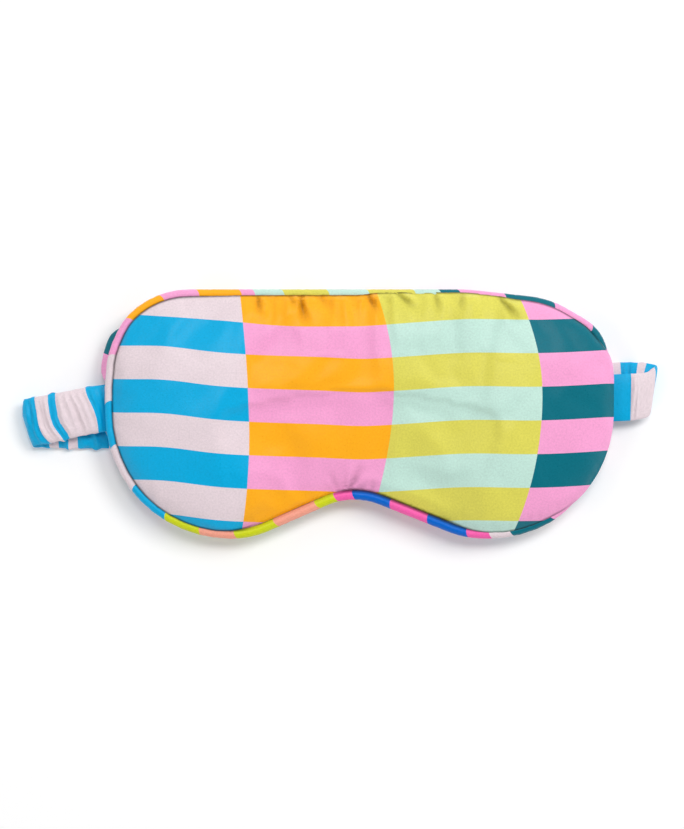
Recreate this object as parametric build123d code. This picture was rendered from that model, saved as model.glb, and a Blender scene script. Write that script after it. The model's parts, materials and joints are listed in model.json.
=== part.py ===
from build123d import *
import os

# Sleep mask lying face up on its own elastic strap, millimetres.
# X runs across the face, +Y towards the brow, +Z away from the face.
# The origin is on the strap's underside, at the middle of the mask.

# Mask outline
MASK_WIDTH = 210.0
MASK_HEIGHT = 102.5
BROW_CORNER_R = 44.0
CHEEK_CORNER_R = 52.0
LOBE_START_X = 44.0
LOBE_R = 40.0
BRIDGE_HALF = 5.6
BRIDGE_R = 27.0
NOSE_DEPTH = 16.2

# Heights
STRAP_THICK = 4.0
BACK_FLOOR_Z = STRAP_THICK + 0.4
SEAM_Z = 10.2
CROWN_Z = 21.0

# Cloth
PIPING_R = 1.8
CORD_R = 1.15
CORD_CLEARANCE = 0.05
PANEL_WALL = 0.8
PANEL_INSET = 2 * PIPING_R + 0.2
PAD_GAP = 0.4
FRONT_ROUND = 9.0
BACK_ROUND = 4.5
LINING_THICK = 0.6
LINING_INSET = 10.0

# Fold line at the nose bridge, a little left of the middle
FOLD_X = -1.0
FOLD_GAP = 0.3

# Strap: a gathered satin sleeve with flat elastic inside
STRAP_Y = 4.5
STRAP_WIDTH = 19.5
ELASTIC_WIDTH = 15.0
ELASTIC_THICK = 1.2
SLEEVE_ROOM = 0.15
UPPER_Z = 7.0
LOWER_Z = STRAP_THICK / 2
LOOP_R = (UPPER_Z - LOWER_Z) / 2
JOINT_GAP = 0.3
RUN_END_X = 98.0
END_THICK = 2.2
END_START_X = MASK_WIDTH / 2 - PANEL_INSET - PANEL_WALL - 0.2
END_REACH = {"right": 7.0, "left": 3.5}
LOOP_REACH = {"right": 17.7, "left": 33.5}

# Thread
THREAD_R = 0.2
BARTACK_ROWS = 3
BARTACK_PITCH = 0.9
BARTACK_LENGTH = 15.0
CLOSING_STITCHES = 7
CLOSING_PITCH = 4.0
CLOSING_LENGTH = 2.2

TOP_Y = MASK_HEIGHT / 2
SIDE_X = MASK_WIDTH / 2
SIDES = {"right": 1, "left": -1}


def outline(inset=0.0):
    """The mask's outline as lines and tangent arcs, moved inwards by inset."""
    bridge_y = -TOP_Y + NOSE_DEPTH
    corners = [
        (0, TOP_Y),
        (SIDE_X, TOP_Y),
        (SIDE_X, -TOP_Y),
        (LOBE_START_X, -TOP_Y),
        (BRIDGE_HALF, bridge_y),
        (0, bridge_y),
    ]
    radii = [BROW_CORNER_R, CHEEK_CORNER_R, LOBE_R, BRIDGE_R]
    half = FilletPolyline(*corners, radius=radii)
    face = make_face(Curve() + half + mirror(half, Plane.YZ))
    return offset(face, -inset) if inset else face


def slab(inset, low, high):
    """A plate of the outline's shape between two heights."""
    return extrude(Pos(0, 0, low) * outline(inset), high - low)


def rounded(body, radius, top):
    """Round the rim of a plate's top or bottom face."""
    faces = body.faces().sort_by(Axis.Z)
    face = faces[-1] if top else faces[0]
    return fillet(face.edges(), radius)


def one_side(body, side):
    """The part of a whole-width body on one side of the fold line."""
    reach = 2 * MASK_WIDTH
    shift = FOLD_X + SIDES[side] * (reach + FOLD_GAP) / 2
    return body & Pos(shift, 0, 0) * Box(reach, reach, reach)


def tube(radius):
    """A round cord that follows the outline at the seam."""
    path = (Pos(0, 0, SEAM_Z) * outline(PIPING_R)).wire()
    start = Plane(origin=path @ 0, z_dir=path % 0)
    return sweep(start * Circle(radius), path=path)


def front_panel():
    """Domed satin front, a shell of one cloth thickness."""
    outer = rounded(slab(PANEL_INSET, SEAM_Z, CROWN_Z), FRONT_ROUND, True)
    cavity = slab(PANEL_INSET + PANEL_WALL, SEAM_Z - 1, CROWN_Z - PANEL_WALL)
    return outer - rounded(cavity, FRONT_ROUND - PANEL_WALL, True)


def back_panel():
    """Shallow satin back that lies against the face, with a slit for each strap end."""
    outer = rounded(slab(PANEL_INSET, BACK_FLOOR_Z, SEAM_Z), BACK_ROUND, False)
    cavity = slab(PANEL_INSET + PANEL_WALL, BACK_FLOOR_Z + PANEL_WALL, SEAM_Z + 1)
    shell = outer - rounded(cavity, BACK_ROUND - PANEL_WALL, False)
    slit = Box(MASK_WIDTH, STRAP_WIDTH + 0.2, END_THICK + 0.2)
    keep = Box(2 * END_START_X, MASK_HEIGHT, MASK_HEIGHT)
    return shell - Pos(0, STRAP_Y, UPPER_Z) * (slit - keep)


def padding():
    """Fibre filling between the panels."""
    inset = PANEL_INSET + PANEL_WALL + PAD_GAP
    low = BACK_FLOOR_Z + PANEL_WALL + LINING_THICK + 2 * PAD_GAP
    high = CROWN_Z - PANEL_WALL - PAD_GAP
    block = rounded(slab(inset, low, high), FRONT_ROUND - PANEL_WALL - PAD_GAP, True)
    return rounded(block, BACK_ROUND - PANEL_WALL - 2 * PAD_GAP, False)


def lining():
    """Black light-blocking interlining laid on the back panel."""
    low = BACK_FLOOR_Z + PANEL_WALL + PAD_GAP
    return slab(LINING_INSET, low, low + LINING_THICK)


def bar(x_from, x_to, height, thick, width):
    """A flat bar of the strap, lying along X."""
    middle = Pos((x_from + x_to) / 2, STRAP_Y, height)
    return middle * Box(x_to - x_from, width, thick)


def turn(x_centre, thick, width):
    """The half ring where the strap doubles back."""
    ring = Circle(LOOP_R + thick / 2) - Circle(LOOP_R - thick / 2)
    outer_half = Pos(LOOP_R + thick, 0) * Rectangle(2 * (LOOP_R + thick), 4 * (LOOP_R + thick))
    place = Pos(x_centre, STRAP_Y, (UPPER_Z + LOWER_Z) / 2)
    return place * extrude(Plane.XZ * (ring & outer_half), width / 2, both=True)


def loop(side, thick, width):
    """A strap loop: upper leg, turn and lower leg, on the right."""
    tip = SIDE_X + LOOP_REACH[side]
    centre = tip - LOOP_R - STRAP_THICK / 2
    upper = bar(SIDE_X + END_REACH[side] + JOINT_GAP, centre, UPPER_Z, thick, width)
    lower = bar(RUN_END_X + JOINT_GAP, centre, LOWER_Z, thick, width)
    return upper + turn(centre, thick, width) + lower


def back_run(side, thick, width):
    """The strap behind the mask, from the fold line to where its loop starts."""
    start = SIDES[side] * FOLD_X + FOLD_GAP / 2
    return bar(start, RUN_END_X, LOWER_Z, thick, width)


def strap_end(side, thick, width):
    """The flat end of the strap, let into the side seam."""
    return bar(END_START_X, SIDE_X + END_REACH[side], UPPER_Z, thick, width)


def sleeved(make, side, thick):
    """A satin sleeve and the elastic inside it, for one stretch of the strap."""
    room = 2 * SLEEVE_ROOM
    cavity = make(side, ELASTIC_THICK + room, ELASTIC_WIDTH + room)
    sleeve = make(side, thick, STRAP_WIDTH) - cavity
    return sleeve, make(side, ELASTIC_THICK, ELASTIC_WIDTH)


def bartack():
    """Rows of stitching across the underside of a strap end, below the piping."""
    height = UPPER_Z - END_THICK / 2 - THREAD_R - 0.05
    first = SIDE_X - PIPING_R - BARTACK_PITCH
    row = Rot(90, 0, 0) * Cylinder(THREAD_R, BARTACK_LENGTH)
    places = [Pos(first + i * BARTACK_PITCH, STRAP_Y, height) for i in range(BARTACK_ROWS)]
    return Compound(children=[place * row for place in places])


def closing_stitches(side):
    """Hand stitches over the piping that close the turning gap at the brow."""
    height = SEAM_Z + PIPING_R + THREAD_R + 0.05
    y = TOP_Y - PIPING_R - CLOSING_LENGTH / 2 + 0.6
    stitch = Rot(90, 0, 0) * Cylinder(THREAD_R, CLOSING_LENGTH)
    steps = [(i + 1) * CLOSING_PITCH for i in range(CLOSING_STITCHES)]
    return Compound(children=[Pos(SIDES[side] * x, y, height) * stitch for x in steps])


def on_side(body, side):
    """Right-hand bodies mirrored to the left where needed."""
    return body if side == "right" else mirror(body, Plane.YZ)


def save(name, body):
    export_step(body, f"parts/{name}.step")


os.makedirs("parts", exist_ok=True)

cord = tube(CORD_R)
whole = {
    "front_panel": front_panel(),
    "back_panel": back_panel(),
    "padding": padding(),
    "blackout_lining": lining(),
    "piping": tube(PIPING_R) - tube(CORD_R + CORD_CLEARANCE),
    "piping_cord": cord,
}
stretches = {
    "end": (strap_end, END_THICK),
    "loop": (loop, STRAP_THICK),
    "back": (back_run, STRAP_THICK),
}

for side in SIDES:
    for name, body in whole.items():
        save(f"{name}_{side}", one_side(body, side))
    for name, (make, thick) in stretches.items():
        sleeve, elastic = sleeved(make, side, thick)
        save(f"sleeve_{name}_{side}", on_side(sleeve, side))
        save(f"elastic_{name}_{side}", on_side(elastic, side))
    save(f"bartack_{side}", on_side(bartack(), side))
    save(f"closing_stitches_{side}", closing_stitches(side))
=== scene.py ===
import json
import math

import bmesh
import bpy
import numpy as np
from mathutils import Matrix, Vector, noise
from mathutils.bvhtree import BVHTree
from mathutils.geometry import delaunay_2d_cdt


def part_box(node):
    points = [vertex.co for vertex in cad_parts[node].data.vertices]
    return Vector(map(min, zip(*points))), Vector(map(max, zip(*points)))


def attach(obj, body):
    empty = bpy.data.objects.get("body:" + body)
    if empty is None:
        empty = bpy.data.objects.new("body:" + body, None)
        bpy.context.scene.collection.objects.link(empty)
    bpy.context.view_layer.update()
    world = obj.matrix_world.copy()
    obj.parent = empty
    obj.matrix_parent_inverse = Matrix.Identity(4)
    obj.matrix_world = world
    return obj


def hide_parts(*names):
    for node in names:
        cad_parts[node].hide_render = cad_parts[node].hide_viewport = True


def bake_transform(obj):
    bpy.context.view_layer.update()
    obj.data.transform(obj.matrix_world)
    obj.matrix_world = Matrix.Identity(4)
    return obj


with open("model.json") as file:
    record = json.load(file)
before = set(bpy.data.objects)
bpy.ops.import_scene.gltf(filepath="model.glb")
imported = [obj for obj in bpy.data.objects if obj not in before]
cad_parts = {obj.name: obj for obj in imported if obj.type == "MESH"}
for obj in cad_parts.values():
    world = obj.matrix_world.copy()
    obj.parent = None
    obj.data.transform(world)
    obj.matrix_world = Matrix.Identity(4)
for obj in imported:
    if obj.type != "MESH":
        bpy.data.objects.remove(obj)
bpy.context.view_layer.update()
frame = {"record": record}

# A padded satin sleep mask lying face up on its own gathered strap.
# Lengths below are millimetres; MM turns them into the scene's metres.
MM = 0.001

# ---------------------------------------------------------------- sizes from the frame
piping_low, piping_high = (Vector(p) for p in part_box("piping_right"))
panel_high = Vector(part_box("front_panel_right")[1])
SIDE_X = piping_high.x / MM
TOP_Y = piping_high.y / MM
PIPE_R = (piping_high.z - piping_low.z) / 2 / MM
SEAM_Z = (piping_high.z + piping_low.z) / 2 / MM
CROWN_Z = panel_high.z / MM
FOLD = next(j for j in frame["record"]["behaviour"]["joints"] if j["name"] == "mask_fold")
FOLD_X = FOLD["pos_m"][0] / MM
BRIDGE_SHIFT = -2.4
NOSE_DEPTH = 16.2
BRIDGE_Y = -TOP_Y + NOSE_DEPTH

# ---------------------------------------------------------------- palette
BLUE = (0.0, 0.40, 0.72)
SHELL = (0.77, 0.65, 0.69)
ORANGE = (1.0, 0.43, 0.012)
PINK = (0.90, 0.36, 0.63)
LIME = (0.71, 0.66, 0.105)
MINT = (0.53, 0.76, 0.67)
TEAL = (0.0, 0.15, 0.205)
HOT = (0.93, 0.12, 0.42)
ROYAL = (0.0, 0.13, 0.60)
ACID = (0.62, 0.68, 0.012)
PEACH = (0.90, 0.36, 0.26)


# ---------------------------------------------------------------- outline of the mask
def rounded_polygon(corners, step):
    """Points along a closed polygon whose corners (x, y, radius) are rounded."""
    points = []
    count = len(corners)
    for i, (x, y, radius) in enumerate(corners):
        here = np.array((x, y))
        back = np.array(corners[i - 1][:2]) - here
        ahead = np.array(corners[(i + 1) % count][:2]) - here
        back, ahead = back / np.linalg.norm(back), ahead / np.linalg.norm(ahead)
        half = math.acos(np.clip(back @ ahead, -1, 1)) / 2
        reach = radius / math.tan(half)
        middle = here + (back + ahead) / np.linalg.norm(back + ahead) * radius / math.sin(half)
        first, last = here + back * reach - middle, here + ahead * reach - middle
        turn = math.atan2(first[0] * last[1] - first[1] * last[0], first @ last)
        for share in np.linspace(0, 1, 13):
            c, s = math.cos(turn * share), math.sin(turn * share)
            points.append(middle + (c * first[0] - s * first[1], s * first[0] + c * first[1]))
    return resample(np.array(points), step)


def resample(points, step):
    """Even points round a closed polyline, starting at its first point."""
    closed = np.vstack([points, points[:1]])
    length = np.concatenate([[0], np.cumsum(np.linalg.norm(np.diff(closed, axis=0), axis=1))])
    count = int(round(length[-1] / step))
    at = np.arange(count) / count * length[-1]
    return np.column_stack([np.interp(at, length, closed[:, k]) for k in range(2)])


def outward(points):
    """Unit normals of a closed counter-clockwise polyline."""
    along = np.roll(points, -1, 0) - np.roll(points, 1, 0)
    along /= np.linalg.norm(along, axis=1)[:, None]
    return np.column_stack([along[:, 1], -along[:, 0]])


def smooth_ring(values, rounds):
    for _ in range(rounds):
        values = (np.roll(values, 1, 0) + 2 * values + np.roll(values, -1, 0)) / 4
    return values


# Corners (x, y, radius), counter-clockwise from the bridge. The brow falls towards its right corner.
CORNERS = [
    (BRIDGE_SHIFT + 5.6, BRIDGE_Y, 27),
    (44, -TOP_Y, 40),
    (SIDE_X, -TOP_Y, 52),
    (SIDE_X, TOP_Y - 30, 32),
    (98.6, TOP_Y - 15.6, 24),
    (78, TOP_Y - 3.7, 40),
    (44, TOP_Y, 80),
    (-SIDE_X, TOP_Y, 35),
    (-SIDE_X, -TOP_Y, 52),
    (-45, -TOP_Y, 40),
    (BRIDGE_SHIFT - 5.6, BRIDGE_Y, 27),
]


def smoothstep(value, low, high):
    share = np.clip((value - low) / (high - low), 0, 1)
    return share * share * (3 - 2 * share)


def rolled(points):
    """How far the front rolls over the piping, 0 to 1: only along the right side."""
    x, y = points[:, 0], points[:, 1]
    return smoothstep(x, 68, 84) * smoothstep(y, -46, -33) * (1 - smoothstep(y, 22, 36))


def bulged(points):
    """How far the back swells out past the piping, 0 to 1: along the left side, mostly above the strap."""
    x, y = points[:, 0], points[:, 1]
    span = 0.35 * smoothstep(y, -36, -18) + 0.65 * smoothstep(y, 10, 18)
    return smoothstep(-x, 84, 100) * span * (1 - smoothstep(y, 30, 42))


# ---------------------------------------------------------------- mesh helpers
def new_piece(name, points, faces, smooth=True):
    mesh = bpy.data.meshes.new(name)
    mesh.from_pydata([tuple(p) for p in np.asarray(points) * MM], [], [tuple(f) for f in faces])
    mesh.validate()
    mesh.shade_smooth() if smooth else mesh.shade_flat()
    piece = bpy.data.objects.new(name, mesh)
    bpy.context.scene.collection.objects.link(piece)
    return piece


def positions(piece):
    flat = np.empty(len(piece.data.vertices) * 3)
    piece.data.vertices.foreach_get("co", flat)
    return flat.reshape(-1, 3) / MM


def move_to(piece, points):
    piece.data.vertices.foreach_set("co", (np.asarray(points) * MM).ravel())
    piece.data.update()


def give_uv(piece, name, values):
    """A UV map from one (u, v) per vertex."""
    layer = piece.data.uv_layers.new(name=name)
    corner = np.empty(len(piece.data.loops), dtype=int)
    piece.data.loops.foreach_get("vertex_index", corner)
    layer.data.foreach_set("uv", np.asarray(values)[corner].astype(np.float32).ravel())


def give_painted_ditch_shade(piece, values):
    """Painted shade for the seam's ditch: per vertex 1 where none is painted, down to 0 where the painted
    shade is darkest.
    """
    layer = piece.data.attributes.new("painted_ditch_light", "FLOAT", "POINT")
    layer.data.foreach_set("value", np.asarray(values).astype(np.float32))


def apply_modifier(piece, modifier):
    bpy.context.view_layer.update()
    evaluated = piece.evaluated_get(bpy.context.evaluated_depsgraph_get())
    mesh = bpy.data.meshes.new_from_object(evaluated)
    piece.modifiers.remove(modifier)
    old = piece.data
    piece.data = mesh
    bpy.data.meshes.remove(old)


def drop_loose_points(piece):
    """Remove points that no face uses."""
    shape = bmesh.new()
    shape.from_mesh(piece.data)
    bmesh.ops.delete(shape, geom=[v for v in shape.verts if not v.link_faces], context="VERTS")
    shape.to_mesh(piece.data)
    shape.free()


def subdivide(piece, levels=1):
    modifier = piece.modifiers.new("subdivide", "SUBSURF")
    modifier.levels = modifier.render_levels = levels
    modifier.boundary_smooth = "PRESERVE_CORNERS"
    apply_modifier(piece, modifier)


def tube_faces(rings, around, closed):
    """Quads of a tube whose rings follow each other."""
    faces = []
    for i in range(rings if closed else rings - 1):
        a, b = i * around, (i + 1) % rings * around
        for k in range(around):
            n = (k + 1) % around
            faces.append((a + k, a + n, b + n, b + k))
    if not closed:
        faces.append(tuple(range(around))[::-1])
        faces.append(tuple((rings - 1) * around + k for k in range(around)))
    return faces


# ---------------------------------------------------------------- shader helpers
def new_material(name):
    material = bpy.data.materials.new(name)
    material.use_nodes = True
    nodes, links = material.node_tree.nodes, material.node_tree.links
    return material, nodes, links, nodes["Principled BSDF"]


def math_node(nodes, links, operation, first, second=None, third=None):
    node = nodes.new("ShaderNodeMath")
    node.operation = operation
    for socket, value in zip(node.inputs, (first, second, third)):
        if isinstance(value, (int, float)):
            socket.default_value = value
        elif value is not None:
            links.new(value, socket)
    return node.outputs[0]


def mix_colors(nodes, links, factor, first, second, blend="MIX"):
    node = nodes.new("ShaderNodeMix")
    node.data_type = "RGBA"
    node.blend_type = blend
    for socket, value in ((node.inputs[0], factor), (node.inputs[6], first), (node.inputs[7], second)):
        if isinstance(value, tuple):
            socket.default_value = (*value, 1)
        elif isinstance(value, (int, float)):
            socket.default_value = value
        else:
            links.new(value, socket)
    return node.outputs[2]


def scaled(nodes, links, vector, scale):
    """A vector or a colour times a number, or times another node's value."""
    node = nodes.new("ShaderNodeVectorMath")
    node.operation = "SCALE"
    links.new(vector, node.inputs[0])
    if isinstance(scale, float):
        node.inputs["Scale"].default_value = scale
    else:
        links.new(scale, node.inputs["Scale"])
    return node.outputs[0]


def noise_texture(nodes, links, where, scale, detail=2.0, roughness=0.5):
    node = nodes.new("ShaderNodeTexNoise")
    node.inputs["Scale"].default_value = scale
    node.inputs["Detail"].default_value = detail
    node.inputs["Roughness"].default_value = roughness
    links.new(where, node.inputs["Vector"])
    return node.outputs[0]


def add_bump(nodes, links, shader, relief, strength, distance):
    bump = nodes.new("ShaderNodeBump")
    bump.inputs["Strength"].default_value = strength
    bump.inputs["Distance"].default_value = distance
    links.new(relief, bump.inputs["Height"])
    links.new(bump.outputs[0], shader.inputs["Normal"])


def odd_row(nodes, links, value):
    """1 where the whole part of value is odd, otherwise 0."""
    rest = math_node(nodes, links, "FLOORED_MODULO", value, 2.0)
    return math_node(nodes, links, "GREATER_THAN", rest, 1.0)


def uv_parts(nodes, links, name):
    uv = nodes.new("ShaderNodeUVMap")
    uv.uv_map = name
    split = nodes.new("ShaderNodeSeparateXYZ")
    links.new(uv.outputs[0], split.inputs[0])
    return uv.outputs[0], split.outputs[0], split.outputs[1]


# UV "print" holds (column position, row position); UV "cloth" holds millimetres / CLOTH_SCALE.
CLOTH_SCALE = 100.0
COLUMN_SPAN = 240.0
# Colour factor at the bottom of the seam's ditch: the darkest painted shade.
PAINTED_DITCH_DARKEST = 0.22


def satin_weave(nodes, links, threads, grain):
    """Height of the slanting floats of thread, with the cloth's fine grain."""
    split = nodes.new("ShaderNodeSeparateXYZ")
    links.new(threads, split.inputs[0])
    slant = math_node(nodes, links, "MULTIPLY_ADD", split.outputs[1], 0.35, split.outputs[0])
    warp = math_node(nodes, links, "SINE", math_node(nodes, links, "MULTIPLY", slant, 21.0))
    weft = math_node(nodes, links, "SINE", math_node(nodes, links, "MULTIPLY", split.outputs[1], 14.0))
    weave = math_node(nodes, links, "MULTIPLY_ADD", weft, 0.35, warp)
    return math_node(nodes, links, "MULTIPLY_ADD", weave, 0.12, grain)


def satin_finish(nodes, links, shader, color, seam=False):
    """Satin: fine floats of thread, an uneven dye, a soft sheen and a broad highlight. With seam,
    shade is painted into the colour: the cloth darkens where its mesh attribute of painted
    ditch shade falls to 0, down in the ditch."""
    uv, _, _ = uv_parts(nodes, links, "cloth")
    threads = scaled(nodes, links, uv, CLOTH_SCALE)
    grain = noise_texture(nodes, links, threads, 1.25, 4.0, 0.65)
    cloud = noise_texture(nodes, links, threads, 0.09)
    shade = math_node(nodes, links, "MULTIPLY_ADD", grain, 0.42, 0.79)
    wash = math_node(nodes, links, "MULTIPLY_ADD", cloud, 0.08, 0.98)
    shade = math_node(nodes, links, "MULTIPLY", shade, wash)
    # Painted shade in the seam's ditch: the colour is multiplied down to its darkest factor where the mesh
    # attribute falls to 0.
    if seam:
        ditch = nodes.new("ShaderNodeAttribute")
        ditch.attribute_name = "painted_ditch_light"
        light = math_node(nodes, links, "MULTIPLY_ADD", ditch.outputs["Fac"], 1 - PAINTED_DITCH_DARKEST, PAINTED_DITCH_DARKEST)
        shade = math_node(nodes, links, "MULTIPLY", shade, light)
    links.new(scaled(nodes, links, color, shade), shader.inputs["Base Color"])
    add_bump(nodes, links, shader, satin_weave(nodes, links, threads, grain), 0.34, 0.0002)
    links.new(math_node(nodes, links, "MULTIPLY_ADD", grain, 0.40, 0.14), shader.inputs["Roughness"])
    shader.inputs["Specular IOR Level"].default_value = 0.26
    shader.inputs["Sheen Weight"].default_value = 0.03
    shader.inputs["Sheen Roughness"].default_value = 0.35
    shader.inputs["Sheen Tint"].default_value = (1.0, 0.97, 0.98, 1)


def column(x):
    """A position across the mask as a share of the print's width."""
    return x / COLUMN_SPAN + 0.5


def print_material(name, even, odd, edges, seam=False):
    """Stripes that change their two colours at each column edge."""
    material, nodes, links, shader = new_material(name)
    _, across, row = uv_parts(nodes, links, "print")
    past = [math_node(nodes, links, "GREATER_THAN", across, column(x)) for x in edges]
    plain, other = even[0], odd[0]
    for over, next_even, next_odd in zip(past, even[1:], odd[1:]):
        plain = mix_colors(nodes, links, over, plain, next_even)
        other = mix_colors(nodes, links, over, other, next_odd)
    color = mix_colors(nodes, links, odd_row(nodes, links, row), plain, other)
    # With seam, shade is painted into the stripes' colour down in the seam's ditch.
    satin_finish(nodes, links, shader, color, seam)
    return material


def stripe_material(name, first, second):
    """Two-colour stripes across a strap; the row number comes in UV print's v."""
    material, nodes, links, shader = new_material(name)
    _, _, row = uv_parts(nodes, links, "print")
    color = mix_colors(nodes, links, odd_row(nodes, links, row), first, second)
    satin_finish(nodes, links, shader, color)
    return material


def dyed_material(name):
    """Satin whose colour is stored on the mesh."""
    material, nodes, links, shader = new_material(name)
    dye = nodes.new("ShaderNodeVertexColor")
    dye.layer_name = "dye"
    # The piping's colour carries painted shade on its side in the ditch.
    satin_finish(nodes, links, shader, dye.outputs[0], seam=True)
    return material


def matt_material(name, color, scale, depth, spread=0.18, roughness=0.9):
    """Matt fibre, thread or woven tape: a noisy colour and relief in object space."""
    material, nodes, links, shader = new_material(name)
    where = nodes.new("ShaderNodeTexCoord")
    grain = noise_texture(nodes, links, where.outputs["Object"], scale, 5.0)
    dark = tuple(c * (1 - spread) for c in color)
    links.new(mix_colors(nodes, links, grain, dark, color), shader.inputs["Base Color"])
    add_bump(nodes, links, shader, grain, 0.5, depth)
    shader.inputs["Roughness"].default_value = roughness
    return material


# ---------------------------------------------------------------- the two satin panels
SHEET_STEP = 2.3
SEAM_ROWS = (1.0, 2.1, 3.3)
BRIDGE_EDGE = 3.9
ROLLED_EDGE = 0.5
BACK_EDGE = 2.9
BULGED_EDGE = 1.5


def at_bridge(ring):
    """1 along the nose arch, 0 away from it."""
    return (ring[:, 1] < 0) * (1 - smoothstep(np.abs(ring[:, 0] + 4), 36, 56))


def front_inset(ring):
    """How much of the piping the front leaves bare: all of it only at the nose arch."""
    x, y = ring[:, 0], ring[:, 1]
    brow = np.interp(x, (-70, -48, 0, 9, 56, 64, 80), (3.0, 2.5, 2.4, 1.3, 1.3, 1.9, 2.1))
    cheek = np.interp(x, (-40, 40, 62, 80, 90), (2.9, 3.0, 2.2, 2.0, 1.0))
    bare = 3.1 + (brow - 3.1) * smoothstep(y, 24, 44)
    bare += (cheek - bare) * (1 - smoothstep(y, -44, -28))
    bare += (BRIDGE_EDGE - bare) * at_bridge(ring)
    return bare + (ROLLED_EDGE - bare) * rolled(ring)


def panel_edge(sign):
    """The sewn edge of a panel: its plan and its heights. sign is 1 for the front, -1 for the back."""
    ring = rounded_polygon(CORNERS, SHEET_STEP)
    roll, bulge = rolled(ring), bulged(ring)
    if sign > 0:
        inset = front_inset(ring)
        on_piping = np.sqrt(np.maximum(PIPE_R ** 2 - (inset - PIPE_R) ** 2, 0)) - 0.25
        return ring - outward(ring) * (inset + 0.8 * bulge)[:, None], SEAM_Z + on_piping * (1 - 0.4 * roll)
    inset = BACK_EDGE + (BULGED_EDGE - BACK_EDGE) * bulge + 0.6 * roll
    return ring - outward(ring) * inset[:, None], SEAM_Z - 0.7 - 0.9 * bulge - 1.2 * roll


BULGE_REACH = 4.6
BULGE_DEPTH = 1.6


def bulge_out(points, edge):
    """Push the back past the piping where it shows on the left."""
    nearest, depth, fine = nearest_on_edge(points[:, :2], edge)
    share = bulged(fine)[nearest] * depth / BULGE_DEPTH * np.exp(1 - depth / BULGE_DEPTH)
    points = points.copy()
    points[:, :2] += outward(fine)[nearest] * (BULGE_REACH * share)[:, None]
    points[:, 2] -= 0.5 * share
    return points


def sheet_mesh(sign):
    """A triangulated sheet inside the panel's edge: points, triangles, edge points, heights, depths."""
    edge, height = panel_edge(sign)
    count = len(edge)
    rows = np.arange(-TOP_Y, TOP_Y, SHEET_STEP * math.sqrt(3) / 2)
    inner = []
    for r, y in enumerate(rows):
        for x in np.arange(-SIDE_X, SIDE_X, SHEET_STEP) + (r % 2) * SHEET_STEP / 2:
            inner.append((x, y))
    inner = np.array(inner)
    inner = inner[inside(inner, edge)]
    inner = inner[edge_distance(inner, edge) > SEAM_ROWS[-1] + SHEET_STEP * 0.55]
    beside = [edge - outward(edge) * inset for inset in SEAM_ROWS]
    points = [Vector(p) for p in np.vstack([edge, *beside, inner])]
    border = [(i, (i + 1) % count) for i in range(count)]
    made, _, faces, order, _, _ = delaunay_2d_cdt(points, border, [list(range(count))], 1, 1e-6)
    flat = np.array([tuple(p) for p in made])
    on_edge = {i for i, old in enumerate(order) if old and min(old) < count}
    depth = edge_distance(flat, edge)
    nearest = np.array([np.argmin(np.hypot(*(edge - p).T)) for p in flat])
    return {"flat": flat, "triangles": [tuple(f) for f in faces], "on_edge": on_edge,
            "heights": height[nearest], "depth": depth, "outward": outward(edge)[nearest]}


def inside(points, ring):
    """True for points inside a closed polyline."""
    result = np.zeros(len(points), bool)
    x, y = points[:, 0], points[:, 1]
    for a, b in zip(ring, np.roll(ring, -1, 0)):
        crosses = (a[1] > y) != (b[1] > y)
        with np.errstate(divide="ignore", invalid="ignore"):
            at = (b[0] - a[0]) * (y - a[1]) / (b[1] - a[1]) + a[0]
        result ^= crosses & (x < at)
    return result


EDGE_DETAIL = 0.3


def nearest_on_edge(flat, edge):
    """For each point the place on the closed edge that is nearest to it, and how far off it is."""
    fine = resample(edge, EDGE_DETAIL)
    away = [np.hypot(*(fine - p).T) for p in flat]
    at = np.array([np.argmin(a) for a in away])
    return at, np.array([a[i] for a, i in zip(away, at)]), fine


def edge_distance(flat, edge):
    return nearest_on_edge(flat, edge)[1]


# Cloth settings; those with two values are for the front (1) and the back (-1).
SLACK = 0.040
SIM_FRAMES = 36
PRESSURE = {1: 2.2, -1: 2.2 * 0.55}
START_RISE = {1: 6.0, -1: 3.5}
BENDING = {1: 0.9, -1: 0.5}


def add_cloth(piece, sign):
    """Cloth held along the vertex group seam and blown up from inside."""
    cloth = piece.modifiers.new("cloth", "CLOTH")
    settings = cloth.settings
    settings.quality = 10
    settings.mass = 0.12
    settings.air_damping = 2.0
    settings.tension_stiffness = settings.compression_stiffness = 14
    settings.shear_stiffness = 6
    settings.bending_stiffness = BENDING[sign]
    settings.tension_damping = settings.compression_damping = 8
    settings.use_pressure = True
    settings.uniform_pressure_force = PRESSURE[sign]
    settings.shrink_min = -SLACK
    settings.vertex_group_mass = "seam"
    settings.effector_weights.gravity = 0
    cloth.collision_settings.use_collision = False
    cloth.collision_settings.use_self_collision = False
    cloth.point_cache.frame_start, cloth.point_cache.frame_end = 1, SIM_FRAMES
    return cloth


def puff(name, sheet, sign):
    """A satin panel, sewn all round and pushed out by the padding. sign is 1 for the front."""
    start = sheet["heights"] + sign * START_RISE[sign] * (1 - np.exp(-sheet["depth"] / 9.0))
    faces = sheet["triangles"] if sign > 0 else [f[::-1] for f in sheet["triangles"]]
    piece = new_piece(name, np.column_stack([sheet["flat"], start]), faces)
    pinned = piece.vertex_groups.new(name="seam")
    pinned.add([int(i) for i in sheet["on_edge"]], 1.0, "REPLACE")
    cloth = add_cloth(piece, sign)
    scene = bpy.context.scene
    for step in range(1, SIM_FRAMES + 1):
        scene.frame_set(step)
    apply_modifier(piece, cloth)
    scene.frame_set(1)
    return piece


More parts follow.
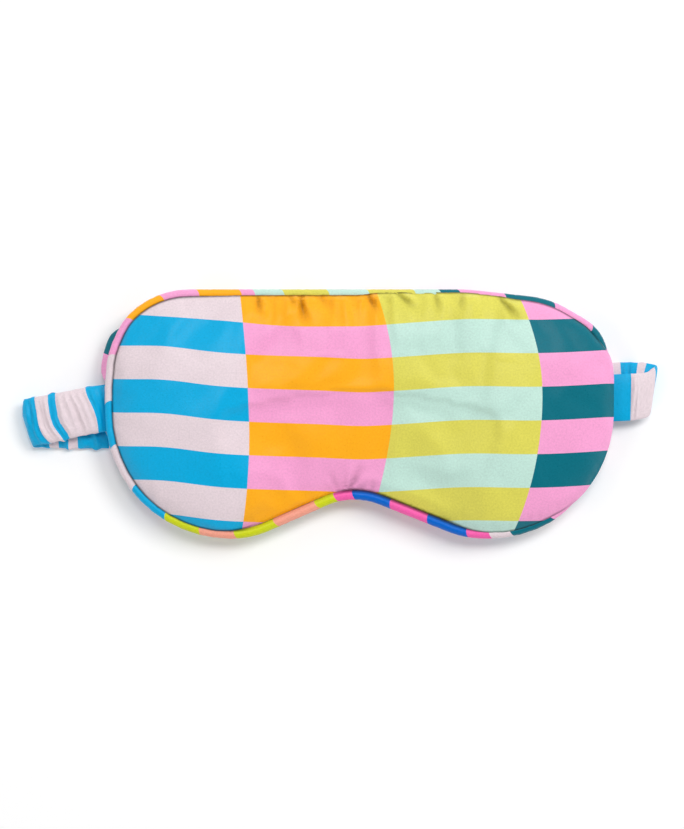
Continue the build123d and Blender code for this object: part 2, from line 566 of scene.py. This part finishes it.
def relaxed(points, triangles, fixed, rounds, amount=0.5):
    """Points drawn towards the middle of their neighbours, the fixed ones left alone."""
    pairs = np.array([(f[i], f[(i + 1) % 3]) for f in triangles for i in range(3)])
    count = np.zeros(len(points))
    np.add.at(count, pairs[:, 0], 1)
    np.add.at(count, pairs[:, 1], 1)
    free = np.ones(len(points), bool)
    free[list(fixed)] = False
    points = points.copy()
    for _ in range(rounds):
        total = np.zeros_like(points)
        np.add.at(total, pairs[:, 0], points[pairs[:, 1]])
        np.add.at(total, pairs[:, 1], points[pairs[:, 0]])
        middle = total / count[:, None]
        points[free] += amount * (middle - points)[free]
    return points


# Print of the front: four columns of stripes that bow with the padding.
COLUMN_EDGES = (-45.1, 14.0, 74.4)
COLUMN_TURN_Y = (-10.7, 10.7, 7.8)
COLUMN_BOW_UP = (0.0011, 0.0044, 0.0058)
COLUMN_BOW_DOWN = (0.0023, 0.0039, 0.0034)
ROW_PITCH = 13.72
ROW_MIDDLE = 36.4
ROW_BOW = 4.15
ROW_TILT = 1.15
LOBE_LIFT = 1.5


def front_print(x, y):
    """Column and row position of each point of the front, seen from above."""
    off = y - np.interp(x, COLUMN_EDGES, COLUMN_TURN_Y)
    bow = np.where(off > 0, np.interp(x, COLUMN_EDGES, COLUMN_BOW_UP),
                   np.interp(x, COLUMN_EDGES, COLUMN_BOW_DOWN))
    across = np.clip((x + 4.0) / SIDE_X, -1, 1)
    drop = ROW_BOW * (1 - across ** 2) + ROW_TILT * across
    left_lobe = np.exp(-((x + 80) / 17) ** 2) * (1 - smoothstep(y, 28, 40))
    right_lobe = np.exp(-((x - 44) / 22) ** 2)
    brow_dip = 1.7 * np.exp(-((x + 26) / 24) ** 2) * smoothstep(y, 26, 38)
    bridge_dip = 0.6 * np.exp(-((x - 1) / 13) ** 2)
    lift = 0.5 + LOBE_LIFT * (left_lobe + right_lobe) - brow_dip - bridge_dip
    row = (ROW_MIDDLE - (y - lift + drop - ROW_BOW)) / ROW_PITCH + 1
    return np.column_stack([column(x + bow * off ** 2), row])


def back_print(x, y):
    return np.column_stack([column(-x), (y + 72.0) / ROW_PITCH])


def blend_fold(piece):
    """The piece's placement baked into its mesh; nothing here bends it at the nose bridge."""
    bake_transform(piece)


def both(node):
    return [f"{node}_right", f"{node}_left"]


front_sheet, back_sheet = sheet_mesh(1), sheet_mesh(-1)


def strap_height(x, y):
    """How high the strap behind the mask holds its back off the floor."""
    across = np.abs(y - np.interp(x, (-100, 100), (-4.4, 10.6)))
    return 0.35 + 3.75 * (1 - smoothstep(across, 10.0, 19.0))


def at_least(values, lowest, soft=0.6):
    """Values kept above a limit, with a soft corner."""
    return lowest + soft * np.logaddexp(0, (values - lowest) / soft)


def near_edge_room(sheet):
    """The least height that a panel keeps from its own edge, so that front and back never meet."""
    return 0.25 * np.minimum(sheet["depth"], 4.0)


BROW_FROM, BROW_TO = -34.0, 62.0
ARCH_Y = BRIDGE_Y + BRIDGE_EDGE
BROW_Y = TOP_Y - 2.4

# Sharp folds: foot x, foot y, direction in degrees, length, depth.
CREASES = (
    (-4.4, ARCH_Y, 62, 13, 2.2), (-1.0, ARCH_Y, 30, 8, 1.2), (-9.0, ARCH_Y, 115, 9, 1.1),
    (5.0, ARCH_Y, 75, 6, 1.1), (-41.8, BROW_Y, -85, 10, 1.8), (-29.3, BROW_Y, -55, 8, 1.3),
    (-24.3, BROW_Y, -82, 15, 2.6), (-17.0, BROW_Y, -50, 8, 1.1), (3.4, BROW_Y, -60, 11, 1.9),
    (16.0, BROW_Y, -42, 12, 1.7), (31.0, BROW_Y, -80, 9, 1.2), (42.0, BROW_Y, -100, 9, 1.1),
    (57.9, BROW_Y - 2.0, -51, 14, 1.9),
)


def gathers(points, edge):
    """How far the cloth stands out of its smooth surface beside the seam: pulled-in gathers,
    deepest along the brow where the opening was closed by hand, and creases at the nose bridge."""
    nearest, depth, _ = nearest_on_edge(points[:, :2], edge)
    x, y = points[:, 0], points[:, 1]
    along = np.where(np.abs(y) > 25, x, nearest * EDGE_DETAIL)
    brow = smoothstep(x, BROW_FROM - 14, BROW_FROM) * (1 - smoothstep(x, BROW_TO, BROW_TO + 14))
    brow = brow * (y > 0)
    lobes = 0.55 * (y < -20) * (np.abs(x) > 30) + 0.45 * (x < -80)
    height = np.zeros(len(points))
    for i, (a, d) in enumerate(zip(along, depth)):
        if d > 26:
            continue
        fan = a + 0.25 * d * noise.noise(Vector((a * 0.03, 0.0, 2.0)))
        long = noise.noise(Vector((fan * 0.10, d * 0.012, 5.0)))
        short = 0.35 - 2.4 * abs(noise.noise(Vector((fan * 0.15, d * 0.03, 9.0))))
        fine = noise.noise(Vector((a * 0.45, d * 0.10, 13.0)))
        height[i] = brow[i] * (3.2 * long * math.exp(-d / 10.0) + 2.2 * short * math.exp(-d / 7.0))
        height[i] += brow[i] * 1.6 * (1 - math.exp(-d / 1.6)) * math.exp(-d / 8.0)
        height[i] += (0.15 + 0.8 * brow[i] + lobes[i]) * 1.1 * fine * math.exp(-d / 3.0)
        height[i] *= min(1.0, d / 2.0)
    height += creases(x, y)
    return np.where(height < 0, height * np.minimum(1.0, depth / 4.0), height)


def creases(x, y):
    """Short sharp folds that fan out from the nose arch and from the closed opening at the brow."""
    height = np.zeros(len(x))
    for foot_x, foot_y, lean, length, deep in CREASES:
        ahead = np.array((math.cos(math.radians(lean)), math.sin(math.radians(lean))))
        run = (x - foot_x) * ahead[0] + (y - foot_y) * ahead[1]
        off = (x - foot_x) * -ahead[1] + (y - foot_y) * ahead[0]
        fade = smoothstep(run, -3, 0.5) * (1 - smoothstep(run, 0.25 * length, length))
        width = 0.75 + 0.12 * np.clip(run, 0, length)
        height += deep * fade * (0.6 * np.exp(-((off - 1.7 * width) / width) ** 2)
                                 - np.exp(-(off / width) ** 2))
    return height


def painted_shade_lift(points):
    """How far the painted ditch shade is lifted, by place: left of the nose arch the piping lies close, and
    less shade is painted there.
    """
    return 0.8 * smoothstep(np.abs(points[:, 0] + 26), 24, 14) * (points[:, 1] < 0)


front = puff("printed_front", front_sheet, 1)
front_points = positions(front)
crown = np.percentile(front_points[:, 2], 97) - SEAM_Z - PIPE_R
lift = (CROWN_Z - SEAM_Z - PIPE_R - 0.4) / crown
front_rise = (front_points[:, 2] - front_sheet["heights"]) * lift
front_points[:, 2] = front_sheet["heights"] + at_least(front_rise, near_edge_room(front_sheet), 0.3)
front_points = relaxed(front_points, front_sheet["triangles"], front_sheet["on_edge"], 2, 0.35)
move_to(front, front_points)
give_uv(front, "print", front_print(front_points[:, 0], front_points[:, 1]))
give_uv(front, "cloth", front_sheet["flat"] / CLOTH_SCALE)
subdivide(front)
fine_points = positions(front)
front_edge = panel_edge(1)[0]
fine_points[:, 2] += gathers(fine_points, front_edge)
fine_depth = edge_distance(fine_points[:, :2], front_edge)
fine_floor = SEAM_Z - 0.1 + 0.35 * np.minimum(fine_depth, 5)
fine_points[:, 2] = at_least(fine_points[:, 2], fine_floor, 0.2)
move_to(front, fine_points)
# Painted shade along the seam's ditch, lifted where the front rolls over the piping and left of the nose
# arch, and painted shade in the cores of the creases.
out_of_ditch = smoothstep(fine_depth, 0.1, 1.0)
painted_ditch_light_share = np.maximum(out_of_ditch, np.maximum(rolled(fine_points), painted_shade_lift(fine_points)))
crease_shade = np.clip(-creases(fine_points[:, 0], fine_points[:, 1]), 0, 2)
give_painted_ditch_shade(front, painted_ditch_light_share * (1 - 0.22 * crease_shade))

back = puff("satin_back", back_sheet, -1)
back_points = positions(back)
back_floor = strap_height(back_points[:, 0], back_points[:, 1])
back_points[:, 2] = at_least(back_points[:, 2], back_floor)
back_points[:, 2] = np.minimum(back_points[:, 2], back_sheet["heights"] - near_edge_room(back_sheet))
move_to(back, back_points)
give_uv(back, "print", back_print(back_sheet["flat"][:, 0], back_sheet["flat"][:, 1]))
give_uv(back, "cloth", back_sheet["flat"] / CLOTH_SCALE)
subdivide(back)
move_to(back, bulge_out(positions(back), panel_edge(-1)[0]))

# ---------------------------------------------------------------- padding and lining
LINING_GAP = 0.45
LINING_INSET = 5.0
PAD_GAP = 1.2
PAD_INSET = 3.0
PAD_REACH = [(dx, dy) for dx in (-1.6, -0.8, 0, 0.8, 1.6) for dy in (-1.6, -0.8, 0, 0.8, 1.6)]


def gap_below(span):
    """The air left between the filling and a cloth that lies span away from the seam's level."""
    return min(PAD_GAP, 0.45 * max(0.0, span))


def padding_surfaces():
    """The filling's upper and lower faces: just inside the front, and just above the lining."""
    over = BVHTree.FromPolygons([tuple(p) for p in fine_points],
                                [tuple(f.vertices) for f in front.data.polygons])
    under = BVHTree.FromPolygons([tuple(p) for p in back_points], back_sheet["triangles"])
    draw_in = PAD_INSET * np.exp(-front_sheet["depth"] / 4.0)
    top = front_points.copy()
    top[:, :2] -= front_sheet["outward"] * draw_in[:, None]
    middle = SEAM_Z - 0.3
    for i, p in enumerate(top):
        above = [over.ray_cast(Vector((p[0] + dx, p[1] + dy, middle)), Vector((0, 0, 1)))[0]
                 for dx, dy in PAD_REACH]
        level = min([hit.z for hit in above if hit] or [middle])
        top[i, 2] = level - gap_below(level - middle)
    bottom = top.copy()
    for i, p in enumerate(bottom):
        hit = under.ray_cast(Vector((p[0], p[1], CROWN_Z)), Vector((0, 0, -1)))[0]
        level = hit.z if hit else middle
        bottom[i, 2] = min(middle, level + gap_below(middle - level))
    rim = list(front_sheet["on_edge"])
    top[rim, 2] = bottom[rim, 2] = middle
    return top, bottom


pad_top, pad_bottom = padding_surfaces()
pad_count = len(pad_top)
lower = {i: i if i in front_sheet["on_edge"] else i + pad_count for i in range(pad_count)}
pad_faces = list(front_sheet["triangles"])
pad_faces += [tuple(lower[i] for i in face[::-1]) for face in front_sheet["triangles"]]
padding = new_piece("fibre_padding", np.vstack([pad_top, pad_bottom]), pad_faces)
drop_loose_points(padding)

lining_faces = [face[::-1] for face in back_sheet["triangles"]
                if all(back_sheet["depth"][i] > LINING_INSET for i in face)]
used = sorted({i for face in lining_faces for i in face})
place = {i: k for k, i in enumerate(used)}
lining = new_piece("black_lining", back_points[used] + (0, 0, LINING_GAP),
                   [tuple(place[i] for i in face) for face in lining_faces])

# ---------------------------------------------------------------- piping
PIPE_STEP = 0.5
PIPE_AROUND = 16

# The strip's colours and their lengths, clockwise from the nose bridge.
PIPE_COLORS = [
    (ROYAL, 1), (HOT, 7), (ACID, 8), (PEACH, 18), (ACID, 18), (PEACH, 16), (ACID, 16), (BLUE, 18),
    (SHELL, 19.5), (BLUE, 18.5), (SHELL, 20), (PINK, 17.5), (ORANGE, 17), (PINK, 15.5), (ORANGE, 17.5),
    (PINK, 5.5), (MINT, 11.5), (LIME, 18.5), (MINT, 16.5), (LIME, 19), (MINT, 10.5), (TEAL, 8), (PINK, 19),
    (TEAL, 20.5), (PINK, 18.5), (TEAL, 11.5), (PINK, 17), (TEAL, 17), (PINK, 17), (TEAL, 17), (PINK, 11),
    (TEAL, 18.5), (SHELL, 9), (HOT, 10), (ROYAL, 17.5), (HOT, 16.5), (ROYAL, 14),
]
PIPE_SHIFT = 1.6


def clockwise_ring():
    """The outline clockwise from the middle of the nose bridge."""
    ring = rounded_polygon(CORNERS, PIPE_STEP)[::-1]
    start = np.argmin(np.hypot(ring[:, 0] - BRIDGE_SHIFT, ring[:, 1] - BRIDGE_Y))
    return np.roll(ring, -start, 0)


def piping_line():
    """Centre line of the piping: it tucks under the front where the front rolls over it."""
    ring = clockwise_ring()
    normal = -outward(ring)
    roll = rolled(ring)
    sway = np.array([noise.noise(Vector((x * 0.05, y * 0.05, 3.0))) for x, y in ring])
    line = ring - normal * (PIPE_R + 0.9 * roll + 0.8 * bulged(ring))[:, None]
    return np.column_stack([line, SEAM_Z - 1.3 * roll + 0.35 * sway]), normal


def slid(values, shift):
    """Values round a closed line, each column read a few steps further on."""
    at = np.arange(len(values))[:, None] + shift[None, :]
    low = np.floor(at).astype(int)
    share = (at - low)[..., None]
    return values[low % len(values)] * (1 - share) + values[(low + 1) % len(values)] * share


def ring_tube(name, line, normal, radius, around, slant=0.0):
    """A closed tube round a level line. Its rings lean by slant, as a bias-cut strip does."""
    angle = np.arange(around) / around * 2 * math.pi
    shift = slant / PIPE_STEP * np.sin(angle - 0.6)
    out = slid(np.column_stack([normal, np.zeros(len(normal))]), shift)
    up = np.array((0, 0, 1.0))
    offset = np.cos(angle)[None, :, None] * out + np.sin(angle)[None, :, None] * up
    points = slid(line, shift) + offset * radius[..., None]
    return new_piece(name, points.reshape(-1, 3), [f[::-1] for f in tube_faces(len(line), around, True)])


pipe_line, pipe_normal = piping_line()
pipe_count = len(pipe_line)
along = np.arange(pipe_count) * PIPE_STEP
puckers = np.array([[noise.noise(Vector((a * 0.55 + k * 0.25, k * 0.35, 7.0))) for k in range(PIPE_AROUND)]
                    for a in along])
pipe_radius = PIPE_R * (1 + 0.11 * at_bridge(pipe_line))[:, None] * (1 + 0.06 * puckers)
piping = ring_tube("bias_piping", pipe_line, pipe_normal, pipe_radius, PIPE_AROUND, 1.1)
# Painted shade on the piping's inner side, where it turns down into the ditch; lifted left of the nose
# arch.
pipe_turn = np.cos(np.arange(PIPE_AROUND) / PIPE_AROUND * 2 * math.pi)
pipe_painted_light = np.tile(smoothstep(pipe_turn, -0.86, -0.36), pipe_count)
give_painted_ditch_shade(piping, np.maximum(pipe_painted_light, np.repeat(painted_shade_lift(pipe_line), PIPE_AROUND)))
turn_mm = np.arange(PIPE_AROUND) / PIPE_AROUND * 2 * math.pi * PIPE_R
give_uv(piping, "cloth", np.column_stack([
    np.repeat(along, PIPE_AROUND), np.tile(turn_mm, pipe_count)]) / CLOTH_SCALE)

color_ends = np.cumsum([length for _, length in PIPE_COLORS])
color_ends = color_ends / color_ends[-1] * (along[-1] + PIPE_STEP)
dyed_at = (along + PIPE_SHIFT) % color_ends[-1]
dye = piping.data.color_attributes.new("dye", "FLOAT_COLOR", "CORNER")
ring_colors = [PIPE_COLORS[int(np.searchsorted(color_ends, a, side="right"))][0] for a in dyed_at]
corner_colors = np.repeat(np.array([(*c, 1) for c in ring_colors], np.float32), PIPE_AROUND * 4, 0)
dye.data.foreach_set("color", corner_colors.ravel())

CORD_AROUND = 12
CORD_PLIES = 3
cord_twist = np.array([[math.sin(a * 1.6 + k / CORD_AROUND * 2 * math.pi * CORD_PLIES)
                        for k in range(CORD_AROUND)] for a in along])
piping_cord = ring_tube("cotton_cord", pipe_line, pipe_normal, 1.1 + 0.1 * cord_twist, CORD_AROUND)

# ---------------------------------------------------------------- strap
# From the left seam round the left loop, behind the mask and round the right loop to its seam.
STRAP_ROUTE = [
    (-100.2, 2.9, 7.0), (-105, 2.4, 7.2), (-111, 1.5, 7.6), (-122, -0.7, 7.6), (-131.5, -2.4, 7.0),
    (-136.6, -3.3, 5.4), (-136.4, -3.8, 3.5), (-131.5, -4.3, 2.3), (-122, -4.6, 1.95), (-104, -4.4, 1.95),
    (-60, -1.2, 1.95), (0, 3.2, 1.95), (60, 7.7, 1.95), (98, 10.9, 1.95), (108, 11.8, 2.1),
    (115.5, 11.6, 2.5), (120.6, 11.0, 3.4), (121.8, 9.6, 4.8), (120.6, 8.1, 6.1), (116.5, 7.2, 7.1),
    (111, 6.9, 7.4), (106, 6.7, 7.2), (100.2, 6.5, 7.0),
]
STRAP_STEP = 0.35
STRAP_AROUND = 56
STRAP_HALF = 9.7


def curve_through(points, step):
    """Even points along a smooth curve through the given ones."""
    p = np.array([2 * np.array(points[0]) - points[1], *points, 2 * np.array(points[-1]) - points[-2]])
    t = np.linspace(0, 1, 60, endpoint=False)[:, None]
    spans = []
    for a, b, c, d in zip(p, p[1:], p[2:], p[3:]):
        spans.append(0.5 * (2 * b + (c - a) * t + (2 * a - 5 * b + 4 * c - d) * t ** 2
                            + (3 * b - a - 3 * c + d) * t ** 3))
    line = np.vstack([*spans, p[-2:-1]])
    length = np.concatenate([[0], np.cumsum(np.linalg.norm(np.diff(line, axis=0), axis=1))])
    at = np.linspace(0, length[-1], int(length[-1] / step))
    return np.column_stack([np.interp(at, length, line[:, k]) for k in range(3)]), at


strap_line, strap_at = curve_through(STRAP_ROUTE, STRAP_STEP)
strap_length = strap_at[-1]
tangent = np.gradient(strap_line, axis=0)
tangent /= np.linalg.norm(tangent, axis=1)[:, None]
widthwise = np.array((0, 1.0, 0)) - tangent * tangent[:, 1:2]
widthwise = smooth_ring(widthwise, 2) * (1, 1, 0.15)
widthwise[:, 0] *= 1 - 0.75 * smoothstep(strap_line[:, 0], 90, 100)
widthwise /= np.linalg.norm(widthwise, axis=1)[:, None]
upwise = np.cross(tangent, widthwise)
upwise /= np.linalg.norm(upwise, axis=1)[:, None]

# Lengths along the strap from each seam: where it is still flat, and where its stripes change.
LEFT_FLAT, RIGHT_FLAT = 5.0, 11.6
LEFT_STRIPES = [10, 22.5, 25.5, 32, 46, 51, 56, 59.5, 70.5]
RIGHT_STRIPES = [11.8, 23.4, 27.5, 31, 38, 46]
STRIPE_PITCH = 8.0


def stripe_rows(at):
    """Stripe number along the strap: listed where its loops show, even behind the mask."""
    right = [strap_length - x for x in RIGHT_STRIPES[::-1]]
    between = int((right[0] - LEFT_STRIPES[-1]) / STRIPE_PITCH) // 2 * 2
    middle = list(np.linspace(LEFT_STRIPES[-1], right[0], between + 1)[1:-1])
    ends = [-1.0, *LEFT_STRIPES, *middle, *right, strap_length + 1]
    return np.interp(at, ends, np.arange(len(ends)) * 1.0)


def strap_shape(half_width, flat_half, full_half, gather):
    """Rings of a flat tube round the strap's line, gathered except at its flat ends."""
    angle = np.arange(STRAP_AROUND) / STRAP_AROUND * 2 * math.pi
    wide = np.sign(np.cos(angle)) * np.abs(np.cos(angle)) ** 0.55
    tall = np.sign(np.sin(angle)) * np.abs(np.sin(angle)) ** 0.8
    from_left = smoothstep(strap_at, LEFT_FLAT - 1.5, LEFT_FLAT + 4)
    from_right = smoothstep(strap_length - strap_at, RIGHT_FLAT - 0.6, RIGHT_FLAT + 2.0)
    full = from_left * from_right
    right = smoothstep(strap_line[:, 0], 90, 100)
    left_tip = 3.0 * smoothstep(-strap_line[:, 0], 116, 134)
    right_tip = 3.4 * smoothstep(strap_line[:, 0], 110, 119)
    calm = 1 - 0.75 * smoothstep(strap_line[:, 0], 114.5, 118.5)
    rings = np.empty((len(strap_at), STRAP_AROUND, 3))
    rows = np.empty((len(strap_at), STRAP_AROUND))
    for i, s in enumerate(strap_at):
        body = flat_half + (full_half - flat_half) * full[i]
        frill = (1.7 - 1.1 * right[i]) * noise.noise(Vector((s * 0.26, 0.0, 21.0))) * full[i] * gather
        for k in range(STRAP_AROUND):
            c, face = wide[k], 1.0 if tall[k] >= 0 else -1.0
            lean = noise.noise(Vector((s * 0.055, c * 0.7, 11.0 + face))) * full[i]
            lean *= 4.5 - 3.6 * right[i]
            t = s + lean
            fold = 1 - 3.4 * abs(noise.noise(Vector((t * 0.15, c * 0.30, 3.0 + 9 * face))))
            small = 1 - 3.2 * abs(noise.noise(Vector((t * 0.38, c * 0.40, 31.0 + 9 * face))))
            swell = gather * full[i] * calm[i] * ((0.95 - 0.6 * right[i]) * fold + 0.42 * small)
            edge = frill * (0.6 + 0.4 * face)
            rings[i, k] = (strap_line[i] + widthwise[i] * (half_width * c + edge * abs(c) ** 3 * np.sign(c))
                           + upwise[i] * (body * tall[k] + swell * abs(tall[k]) ** 1.5 * face))
            low = (1 - c) / 2
            rings[i, k, 0] += left_tip[i] * low ** 2 - right_tip[i] * low
            rows[i, k] = t
    rings[..., 2] = np.maximum(rings[..., 2], 0.12)
    return rings, rows


def ring_normals(rings):
    ahead = np.gradient(rings, axis=0)
    sideways = np.roll(rings, -1, 1) - np.roll(rings, 1, 1)
    normal = np.cross(sideways, ahead)
    return normal / np.maximum(np.linalg.norm(normal, axis=2), 1e-9)[..., None]


def cut_strap(name, rings, rows, low, high):
    """One stretch of the strap between two places along it. Ends stay open: the next stretch goes on."""
    chosen = np.arange(low, high + 1)
    part, normal = rings[chosen], ring_normals(rings)[chosen]
    piece = new_piece(name, part.reshape(-1, 3),
                      tube_faces(len(chosen), STRAP_AROUND, False)[:-2])
    turn = np.arange(STRAP_AROUND) / STRAP_AROUND * 4 * STRAP_HALF
    give_uv(piece, "print", np.column_stack([
        np.tile(turn, len(chosen)) / CLOTH_SCALE, stripe_rows(rows[chosen]).ravel()]))
    give_uv(piece, "cloth", np.column_stack([
        rows[chosen].ravel(), np.tile(turn, len(chosen))]) / CLOTH_SCALE)
    piece.data.normals_split_custom_set_from_vertices([tuple(n) for n in normal.reshape(-1, 3)])
    return piece


LEG_Z = 4.5
END_CUT = {"left": -108.6, "right": 112.1}
LOOP_CUT = 98.0


def along_at(x, sewn):
    """Ring number where the strap's line crosses x, on the leg that is sewn in or the one behind."""
    on_leg = (strap_line[:, 2] > LEG_Z) == sewn
    return int(np.argmin(np.where(on_leg, np.abs(strap_line[:, 0] - x), np.inf)))


left_end, right_end = (along_at(END_CUT[side], True) for side in ("left", "right"))
left_back, right_back = along_at(-LOOP_CUT, False), along_at(LOOP_CUT, False)
CUTS = {
    "end_left": (0, left_end),
    "loop_left": (left_end, left_back),
    "back": (left_back, right_back),
    "loop_right": (right_back, right_end),
    "end_right": (right_end, len(strap_at) - 1),
}

ELASTIC_HALF = 7.5


def cut_up(name, rings, rows):
    """The strap's five stretches, one piece each."""
    return {key: cut_strap(f"{name}_{key}", rings, rows, *ends) for key, ends in CUTS.items()}


sleeves = cut_up("strap_sleeve", *strap_shape(STRAP_HALF, 0.85, 1.45, 1.0))
elastics = cut_up("strap_elastic", *strap_shape(ELASTIC_HALF, 0.4, 0.5, 0.0))


# ---------------------------------------------------------------- stitching
def thread(name, paths, radius):
    """Thread lying along short paths, as one mesh of round runs."""
    around = 6
    points, faces = [], []
    for path in paths:
        path = np.array(path)
        start = len(points)
        ahead = np.gradient(path, axis=0)
        for p, t in zip(path, ahead):
            t = t / np.linalg.norm(t)
            side = np.cross(t, (0, 0, 1.0))
            side /= np.linalg.norm(side)
            up = np.cross(side, t)
            for k in range(around):
                a = k / around * 2 * math.pi
                points.append(p + radius * (math.cos(a) * side + math.sin(a) * up))
        faces += [tuple(start + v for v in f) for f in tube_faces(len(path), around, False)]
    return new_piece(name, points, faces)


BARTACK_AT = {"right": (102.6, 6.6), "left": (-102.6, 2.7)}
BARTACK_TURNS = 45
BARTACK_LENGTH = 14.8
BARTACK_Z = 5.95


def bartack_path(side):
    """A zigzag across the underside of a strap end, where the piping hides it."""
    x, y = BARTACK_AT[side]
    steps = np.arange(BARTACK_TURNS + 1)
    return np.column_stack([x + 0.9 * np.where(steps % 2, 1, -1),
                            y + BARTACK_LENGTH * (steps / BARTACK_TURNS - 0.5),
                            np.full(len(steps), BARTACK_Z)])


def closing_paths():
    """Small slip stitches in the ditch along the brow, from the piping into the front."""
    paths = []
    for i in range(-7, 16):
        x = i * 4.0 + 0.5 * math.sin(i * 2.3)
        if abs(x - FOLD_X) < 1.6:
            continue
        share = np.linspace(0, 1, 6)
        y = TOP_Y - 2.6 - 1.3 * share
        z = SEAM_Z + 1.35 - 0.5 * share + 0.25 * np.sin(share * math.pi)
        paths.append(np.column_stack([x + 0.7 * share, y, z]))
    return paths


bartacks = {s: thread("bartack_thread_" + s, [bartack_path(s)], 0.16) for s in ("left", "right")}
closing = thread("closing_thread", closing_paths(), 0.13)

# ---------------------------------------------------------------- materials
# seam=True paints shade into the front's colour down in the ditch and in the cores of the creases.
print_satin = print_material("print_satin", (SHELL, ORANGE, LIME, PINK), (BLUE, PINK, MINT, TEAL),
                             COLUMN_EDGES, seam=True)
back_satin = print_material("back_satin", (SHELL, PINK, MINT, PINK), (BLUE, ORANGE, LIME, TEAL),
                            COLUMN_EDGES)
piping_satin = dyed_material("piping_satin")
strap_satin = stripe_material("strap_satin", BLUE, SHELL)
wadding = matt_material("wadding", (0.90, 0.90, 0.88), 260, 0.0006)
black_cloth = matt_material("black_cloth", (0.018, 0.018, 0.02), 900, 0.0001)
cotton = matt_material("cotton", (0.86, 0.82, 0.74), 1500, 0.0001)
rubber_tape = matt_material("woven_elastic", (0.88, 0.88, 0.86), 1200, 0.0002)
pale_thread = matt_material("pale_thread", (0.80, 0.62, 0.70), 3000, 0.00004, roughness=0.55)

# ---------------------------------------------------------------- camera, light, floor
MM_PER_PIXEL = 0.411
FRAME_HEIGHT_PX = 829
CAMERA_HEIGHT = 1.0
camera_data = bpy.data.cameras.new("camera")
camera = bpy.data.objects.new("camera", camera_data)
bpy.context.scene.collection.objects.link(camera)
camera.location = (-0.0072, -0.0002, CAMERA_HEIGHT)
camera_data.sensor_width = 36
camera_data.lens = 36 * (CAMERA_HEIGHT - SEAM_Z * MM) / (FRAME_HEIGHT_PX * MM_PER_PIXEL * MM)
bpy.context.scene.camera = camera


def area_light(name, location, size, power, shiny):
    data = bpy.data.lights.new(name, "AREA")
    data.shape = "DISK"
    data.size = size
    data.energy = power
    light = bpy.data.objects.new(name, data)
    light.location = location
    light.visible_glossy = shiny
    light.rotation_euler = (-Vector(location)).to_track_quat("-Z", "Y").to_euler()
    bpy.context.scene.collection.objects.link(light)


area_light("key", (0.12, 0.70, 1.80), 0.6, 9.5, True)
area_light("side", (1.0, 0.8, 1.5), 0.9, 17.0, False)
area_light("fill", (-0.9, -0.3, 0.8), 0.9, 1.5, False)


def studio_world(zenith, horizon):
    """Soft light from all round, dimmer straight overhead, where the camera hangs."""
    world = bpy.data.worlds.new("studio")
    world.use_nodes = True
    nodes, links = world.node_tree.nodes, world.node_tree.links
    where = nodes.new("ShaderNodeTexCoord")
    split = nodes.new("ShaderNodeSeparateXYZ")
    links.new(where.outputs["Generated"], split.inputs[0])
    level = nodes.new("ShaderNodeMapRange")
    level.interpolation_type = "SMOOTHSTEP"
    for socket, value in zip(level.inputs[1:], (0.60, 0.85, horizon, zenith)):
        socket.default_value = value
    links.new(split.outputs[2], level.inputs[0])
    nodes["Background"].inputs["Color"].default_value = (1, 1, 1, 1)
    links.new(level.outputs[0], nodes["Background"].inputs["Strength"])
    bpy.context.scene.world = world


studio_world(0.12, 0.70)
bpy.context.scene.view_settings.view_transform = "Standard"

FLOOR_HALF = 1600.0
floor = new_piece("floor", np.array([(-1, -1, 0), (1, -1, 0), (1, 1, 0), (-1, 1, 0)]) * FLOOR_HALF,
                  [(0, 1, 2, 3)])
floor_material, _, _, floor_shader = new_material("floor")
floor_shader.inputs["Base Color"].default_value = (0.94, 0.94, 0.94, 1)
floor_shader.inputs["Emission Color"].default_value = (1, 1, 1, 1)
floor_shader.inputs["Emission Strength"].default_value = 0.09
floor_shader.inputs["Roughness"].default_value = 0.9
floor_shader.inputs["Specular IOR Level"].default_value = 0.1
floor.data.materials.append(floor_material)

# ---------------------------------------------------------------- fasten to the frame
def finish_piece(piece, material, nodes):
    piece.data.materials.clear()
    piece.data.materials.append(material)
    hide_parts(*nodes)


for piece, material, slot, node in (
        (front, print_satin, "print_satin", "front_panel"),
        (back, back_satin, "back_satin", "back_panel"),
        (padding, wadding, "padding", "padding"),
        (lining, black_cloth, "blackout_lining", "blackout_lining"),
        (piping, piping_satin, "piping_satin", "piping"),
        (piping_cord, cotton, "piping_cord", "piping_cord"),
        (sleeves["back"], strap_satin, "strap_satin", "sleeve_back"),
        (elastics["back"], rubber_tape, "elastic", "elastic_back"),
        (closing, pale_thread, "thread", "closing_stitches")):
    finish_piece(piece, material, both(node))
    blend_fold(piece)

for side in ("left", "right"):
    for stretch in ("end", "loop"):
        for family, material, slot, node in ((sleeves, strap_satin, "strap_satin", "sleeve"),
                                             (elastics, rubber_tape, "elastic", "elastic")):
            piece = family[f"{stretch}_{side}"]
            finish_piece(piece, material, [f"{node}_{stretch}_{side}"])
            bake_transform(piece)
    finish_piece(bartacks[side], pale_thread, [f"bartack_{side}"])
    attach(bartacks[side], f"{side}_half")
